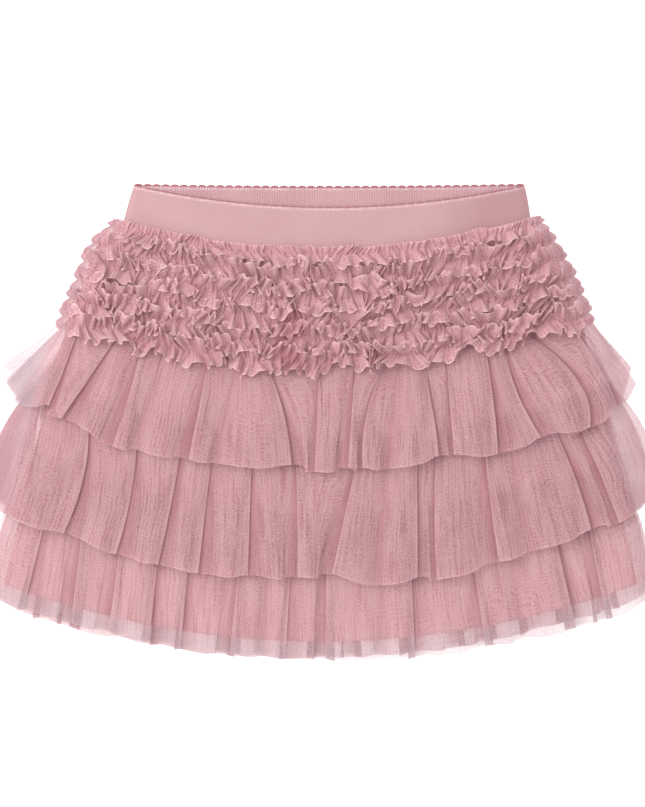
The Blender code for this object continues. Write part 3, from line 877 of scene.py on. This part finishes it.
# %% Back tiers
def back_tier(name, tier, upper_tier, rows=36):
    sizes = TIERS[tier]
    dice = np.random.default_rng(sizes["seed"] + 40)
    folds = [(-f[0], -f[1], -f[2], f[3], {"L": "R", "R": "L"}.get(f[4], f[4]), *f[5:])
             for f in reversed(FOLDS[tier])]
    stations = fold_stations(folds, dice)
    low, high = FOLDS[tier][0], FOLDS[tier][-1]
    for column, ends in ((0, (low[0], high[0])), (2, (low[2], high[2]))):
        old = stations[:, column]
        stations[:, column] = np.interp(old, (old.min(), old.max()), (ends[0] + 1, ends[1] - 1))
    seam_x, bend, hem_x, hem_lift, share, crease_shade = smoothed(stations).T
    along = np.concatenate([[0.0], np.hypot(np.diff(hem_x), np.diff(share)).cumsum()])
    down = np.linspace(0.0, 1.0, rows)[:, None]
    x = blend(seam_x, hem_x * 0.995, down) + bend * 4.0 * down * (1.0 - down)
    top = seam_line(sizes["seam_y"], seam_x)
    bottom = seam_line(sizes["hem_y"], hem_x, sizes["hem_arc"]) + hem_lift + 0.6
    y = blend(top, bottom, down)
    z = 0.25 + 0.5 * share * blend(0.5, 1.0, down)
    if upper_tier:
        z = z + LAYER * smooth_step(-down_a_tier(upper_tier, x, y), -1.16, -1.06)
    length = np.mean(top - bottom)
    # the raw hem is denser and painted lighter, a painted highlight, and creases get a painted shade
    edge = smooth_step(down, 1.0 - 0.7 / length, 1.0) - 0.8 * np.maximum(crease_shade, 0.0)
    points = grid(x, y, z)
    piece = cloth_sheet(name, points, grid(along, down * length), tulle, edge)
    return piece, points, along[-1], length


# %% Make the tiers
tiers = []
for tier, next_tier, upper_tier in (
    ("tier_3", None, "tier_2"), ("tier_2", "tier_3", "tier_1"), ("tier_1", "tier_2", None),
):
    made = front_tier(f"{tier}_front_tulle", tier, next_tier)
    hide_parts(f"{tier}_front")
    hidden = back_tier(f"{tier}_back_tulle", tier, upper_tier)
    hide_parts(f"{tier}_back")
    tiers += [made, hidden]
    for piece, points, width, length in (made, hidden):
        print(piece.name, "cut", round(width), "x", round(length), "mm, area share",
              round(cloth_area(points) / (width * length * MM * MM), 2))

# %% [markdown]
# ## Picot edge
# The elastic is woven with a row of tiny scallops along its top edge. A paler thread runs round
# them and is caught down in a bead where one meets the next.

# %% Picot edge
RIM = 0.13
# how far each bead sits above the top edge (below it if negative), and its radius
BEADS = {"front": (-0.6, 0.34), "back": (-0.9, 0.36)}


def picot_row(name, side):
    front = side == "front"
    points, faces = [], []

    def thread(path, radii):
        along = np.gradient(path, axis=0)
        for step, (place, way, radius) in enumerate(zip(path, along, radii)):
            sideways = np.array([-way[1], way[0], 0.0]) / math.hypot(way[0], way[1])
            first = len(points)
            for turn in np.arange(6) * math.tau / 6:
                lift = np.array([0.0, 0.0, 0.8 * math.sin(turn)])
                points.append(place + radius * (math.cos(turn) * sideways + lift))
            for corner in range(6 if step else 0):
                after = (corner + 1) % 6
                faces.append((first - 6 + corner, first - 6 + after, first + after, first + corner))

    def place_at(across, above):
        x = blend(BAND_TOP[0], BAND_TOP[1], across)
        z = band_height(x, BAND_TOP[0], BAND_TOP[1], front) - (FRONT_EDGE_DROP if front else 0.0)
        return grid(x, band_top(x, front) + above, z)

    if not front:
        across = np.linspace(0.0, 1.0, PICOTS * 10 + 1)
        path = place_at(across, scallops(across, side))
        path[:, 2] += 0.25
        thread(path, np.full(len(path), RIM))
    above, size = BEADS[side]
    levels = np.array([-0.9, -0.35, 0.35, 0.9])
    for joint in np.arange(PICOTS + 1) / PICOTS:
        bead = place_at(np.full(4, joint), above + levels * size * 1.2)
        bead[:, 2] += 0.5
        thread(bead, size * np.sqrt(1.0 - levels ** 2))
    mesh = bpy.data.meshes.new(name)
    mesh.from_pydata([tuple(p * MM) for p in points], [], faces)
    layer = mesh.uv_layers.new(name="grain")
    flat = np.array(points)[:, :2] * MM
    layer.data.foreach_set("uv", flat[np.array(faces).ravel()].ravel())
    piece = add_piece(name, mesh, len(faces), picot_thread)
    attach(piece, "root")
    return piece


picot_thread = knit_finish("picot_thread", (0.80, 0.55, 0.56), (0.66, 0.40, 0.42), 0.0005, 0.2, 0.3)
picot_back = picot_row("picot_back", "back")
picot_front = picot_row("picot_front", "front")
print("picot threads:", PICOTS, "loops to a row")

# %% [markdown]
# ## What the gathered pieces were cut from
# They are cut as long straight strips.

# %% [markdown]
# ## Table, light and camera
# A white table that shows as plain white, an even pale room, and one broad soft light from the
# upper left, so that each lip darkens the tuck beside it. The camera looks straight down.

# %% Table
table_finish, _, table_shader = new_finish("white_table")
table_shader.inputs["Base Color"].default_value = (0.9, 0.9, 0.9, 1.0)
table_shader.inputs["Emission Color"].default_value = (1.0, 1.0, 1.0, 1.0)
table_shader.inputs["Emission Strength"].default_value = 0.55
table_shader.inputs["Roughness"].default_value = 0.9
bpy.ops.mesh.primitive_plane_add(size=4.0, location=(0.0, 0.0, -0.0006))
table_top = bpy.context.object
table_top.name = "table"
table_top.data.materials.append(table_finish)

# %% Light
world = bpy.data.worlds.new("room")
bpy.context.scene.world = world
world.use_nodes = True
world.node_tree.nodes["Background"].inputs["Color"].default_value = (1.0, 0.99, 0.985, 1.0)
world.node_tree.nodes["Background"].inputs["Strength"].default_value = 0.98
key_data = bpy.data.lights.new("key", "AREA")
key_data.size = 0.9
key_data.energy = 15.0
key_light = bpy.data.objects.new("key", key_data)
key_light.location = (-0.95, 0.45, 1.0)
key_light.rotation_euler = (-key_light.location).to_track_quat("-Z", "Y").to_euler()
bpy.context.scene.collection.objects.link(key_light)
print("lit by the room and one key light")

# %% Camera
camera_data = bpy.data.cameras.new("camera")
camera_data.lens = 120.0
camera_data.sensor_width = 36.0
camera = bpy.data.objects.new("camera", camera_data)
camera.location = (0.0010, 0.0096, 1.4066)
bpy.context.scene.collection.objects.link(camera)
bpy.context.scene.camera = camera
bpy.context.scene.view_settings.view_transform = "Standard"
print("camera at", [round(v, 4) for v in camera.location])
